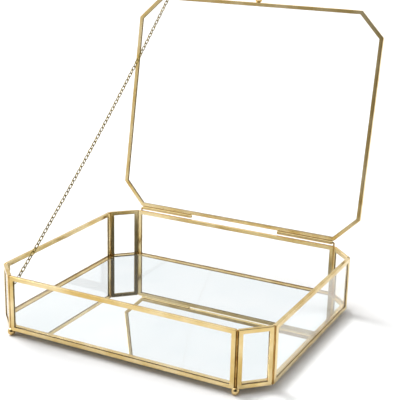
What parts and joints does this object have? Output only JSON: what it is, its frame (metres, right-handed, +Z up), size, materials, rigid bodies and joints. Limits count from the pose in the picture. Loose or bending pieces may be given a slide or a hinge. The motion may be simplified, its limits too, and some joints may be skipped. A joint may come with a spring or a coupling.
{
  "type": "glass casket box",
  "caption": "Low eight-sided glass casket in soldered brass came, with a mirrored base, a hinged glass lid held open by a fine chain, and ball feet.",
  "frame": {"origin": "centre of the open object's bounding box, on the plane of the four feet's flats", "axes": "+Z up, +X to the object's right along the hinge, -Y towards the front; the lid rises at +Y"},
  "size_m": [0.25, 0.2526, 0.2652],
  "materials": {
    "came": "polished",
    "wire": "polished",
    "ball": "polished",
    "glass": "clear",
    "mirror": "polished"
  },
  "bodies": {
    "box": {"front_frame": "came", "front_right_frame": "came", "right_frame": "came", "back_right_frame": "came", "back_frame": "came", "back_left_frame": "came", "left_frame": "came", "front_left_frame": "came", "front_pane": "glass", "front_right_pane": "glass", "right_pane": "glass", "back_right_pane": "glass", "back_pane": "glass", "back_left_pane": "glass", "left_pane": "glass", "front_left_pane": "glass", "base_frame": "came", "base_mirror": "mirror", "foot_front_left": "ball", "foot_front_right": "ball", "foot_back_left": "ball", "foot_back_right": "ball", "hinge_pin_left": "wire", "hinge_pin_right": "wire", "box_eyelet": "wire"},
    "lid": {"lid_frame": "came", "lid_glass": "glass", "hinge_tube_left": "came", "hinge_tube_right": "came", "lid_knob": "ball", "lid_eyelet": "wire"},
    "chain_1": {"chain_1": "wire"},
    "chain_2": {"chain_2": "wire"},
    "chain_3": {"chain_3": "wire"},
    "chain_4": {"chain_4": "wire"},
    "chain_5": {"chain_5": "wire"},
    "chain_6": {"chain_6": "wire"},
    "chain_7": {"chain_7": "wire"},
    "chain_8": {"chain_8": "wire"}
  },
  "joints": [
    {"name": "lid_hinge", "type": "hinge", "parent": "box", "child": "lid", "pos_m": [0, 0.08509, 0.05469], "axis": [1, 0, 0], "range_deg": [0, 100]},
    {"name": "chain_joint_1", "type": "hinge", "parent": "lid", "child": "chain_1", "pos_m": [-0.0919, 0.11667, 0.25708], "axis": [1, 0, 0], "range_deg": [-0.5, 5.1]},
    {"name": "chain_joint_2", "type": "hinge", "parent": "chain_1", "child": "chain_2", "pos_m": [-0.09399, 0.06075, 0.20207], "axis": [1, 0, 0], "range_deg": [-0.5, 80.4]},
    {"name": "chain_joint_3", "type": "hinge", "parent": "chain_2", "child": "chain_3", "pos_m": [-0.09546, 0.02063, 0.16458], "axis": [1, 0, 0], "range_deg": [-52, 0.5]},
    {"name": "chain_joint_4", "type": "hinge", "parent": "chain_3", "child": "chain_4", "pos_m": [-0.09588, 0.00903, 0.15402], "axis": [1, 0, 0], "range_deg": [-0.5, 3.6]},
    {"name": "chain_joint_5", "type": "hinge", "parent": "chain_4", "child": "chain_5", "pos_m": [-0.0963, -0.00264, 0.14354], "axis": [1, 0, 0], "range_deg": [-88.5, 0.5]},
    {"name": "chain_joint_6", "type": "hinge", "parent": "chain_5", "child": "chain_6", "pos_m": [-0.09672, -0.01438, 0.13313], "axis": [1, 0, 0], "range_deg": [-88.5, 0.5]},
    {"name": "chain_joint_7", "type": "hinge", "parent": "chain_6", "child": "chain_7", "pos_m": [-0.09797, -0.04995, 0.10231], "axis": [1, 0, 0], "range_deg": [-3.2, 0.5]},
    {"name": "chain_joint_8", "type": "hinge", "parent": "box", "child": "chain_8", "pos_m": [-0.10038, -0.11901, 0.04559], "axis": [1, 0, 0], "range_deg": [-55, 0.5], "deforming": ["chain_8"]}
  ],
  "couplings": [
    {"joint": "chain_joint_1", "follows": "lid_hinge", "ratio": 0.046},
    {"joint": "chain_joint_2", "follows": "lid_hinge", "ratio": 0.799},
    {"joint": "chain_joint_3", "follows": "lid_hinge", "ratio": -0.515},
    {"joint": "chain_joint_4", "follows": "lid_hinge", "ratio": 0.031},
    {"joint": "chain_joint_5", "follows": "lid_hinge", "ratio": -0.88},
    {"joint": "chain_joint_6", "follows": "lid_hinge", "ratio": -0.88},
    {"joint": "chain_joint_7", "follows": "lid_hinge", "ratio": -0.026976},
    {"joint": "chain_joint_8", "follows": "lid_hinge", "ratio": -0.545}
  ]
}
